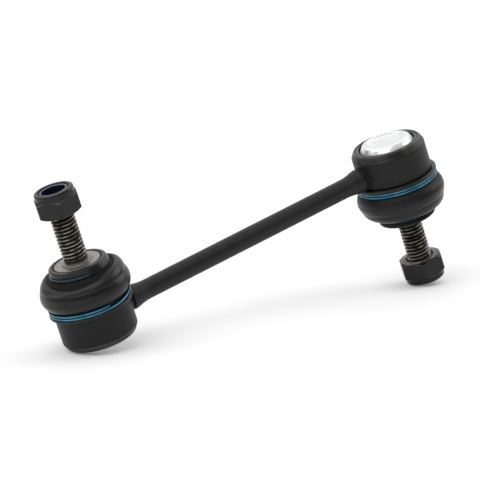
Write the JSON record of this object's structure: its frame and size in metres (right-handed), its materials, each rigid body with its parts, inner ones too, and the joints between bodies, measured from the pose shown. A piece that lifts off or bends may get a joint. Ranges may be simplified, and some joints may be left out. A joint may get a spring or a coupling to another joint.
{
  "type": "stabilizer link",
  "caption": "Straight anti-roll-bar drop link: a round rod welded between cup-shaped ball joints whose threaded studs face opposite ways, with rubber boots and lock nuts.",
  "frame": {"origin": "midway between the two ball centres, on the rod's axis, which is also the centre of volume", "axes": "+X along the rod from end A to end B, +Z along the stud of end A; the stud of end B points to -Z"},
  "size_m": [0.1838, 0.0368, 0.1068],
  "materials": {
    "black_rod": "satin black coated steel",
    "black_housing": "satin black coated steel",
    "zinc_cap": "bright zinc-plated pressed steel",
    "seat_plastic": "off-white acetal",
    "blue_wire": "blue coated spring wire",
    "boot_rubber": "satin black rubber",
    "stud_steel": "grey coated steel",
    "nylon": "dark blue nylon",
    "black_nut": "black coated steel"
  },
  "bodies": {
    "link": {"link_rod": "black_rod", "housing_a": "black_housing", "end_cap_a": "zinc_cap", "upper_seat_a": "seat_plastic", "lower_seat_a": "seat_plastic", "base_ring_a": "blue_wire", "housing_b": "black_housing", "end_cap_b": "zinc_cap", "upper_seat_b": "seat_plastic", "lower_seat_b": "seat_plastic", "base_ring_b": "blue_wire"},
    "boot_a": {"dust_boot_a": "boot_rubber"},
    "neck_a": {"neck_ring_a": "blue_wire"},
    "stud_a": {"ball_stud_a": "stud_steel"},
    "insert_a": {"nut_insert_a": "nylon"},
    "nut_a": {"lock_nut_a": "black_nut"},
    "boot_b": {"dust_boot_b": "boot_rubber"},
    "neck_b": {"neck_ring_b": "blue_wire"},
    "stud_b": {"ball_stud_b": "stud_steel"},
    "insert_b": {"nut_insert_b": "nylon"},
    "nut_b": {"lock_nut_b": "black_nut"}
  },
  "joints": [
    {"name": "swing_a", "type": "hinge", "parent": "link", "child": "boot_a", "pos_m": [-0.0735, 0, 0], "axis": [0, 1, 0], "range_deg": [-16, 16], "deforming": ["dust_boot_a"]},
    {"name": "sway_a", "type": "hinge", "parent": "boot_a", "child": "neck_a", "pos_m": [-0.0735, 0, 0], "axis": [1, 0, 0], "range_deg": [-16, 16], "deforming": ["dust_boot_a"]},
    {"name": "spin_a", "type": "hinge", "parent": "neck_a", "child": "stud_a", "pos_m": [-0.0735, 0, 0], "axis": [0, 0, 1], "continuous": true},
    {"name": "nut_slide_a", "type": "slide", "parent": "stud_a", "child": "insert_a", "axis": [0, 0, 1], "range_m": [-0.02015, 0.0068]},
    {"name": "nut_turn_a", "type": "hinge", "parent": "insert_a", "child": "nut_a", "pos_m": [-0.0735, 0, 0], "axis": [0, 0, 1], "range_deg": [-4824, 1620]},
    {"name": "swing_b", "type": "hinge", "parent": "link", "child": "boot_b", "pos_m": [0.0735, 0, 0], "axis": [0, 1, 0], "range_deg": [-16, 16], "deforming": ["dust_boot_b"]},
    {"name": "sway_b", "type": "hinge", "parent": "boot_b", "child": "neck_b", "pos_m": [0.0735, 0, 0], "axis": [1, 0, 0], "range_deg": [-16, 16], "deforming": ["dust_boot_b"]},
    {"name": "spin_b", "type": "hinge", "parent": "neck_b", "child": "stud_b", "pos_m": [0.0735, 0, 0], "axis": [0, 0, -1], "continuous": true},
    {"name": "nut_slide_b", "type": "slide", "parent": "stud_b", "child": "insert_b", "axis": [0, 0, -1], "range_m": [-0.017, 0.00995]},
    {"name": "nut_turn_b", "type": "hinge", "parent": "insert_b", "child": "nut_b", "pos_m": [0.0735, 0, 0], "axis": [0, 0, -1], "range_deg": [-4068, 2376]}
  ],
  "couplings": [
    {"joint": "nut_slide_a", "follows": "nut_turn_a", "m_per_rad": 0.00023873},
    {"joint": "nut_slide_b", "follows": "nut_turn_b", "m_per_rad": 0.00023873}
  ]
}
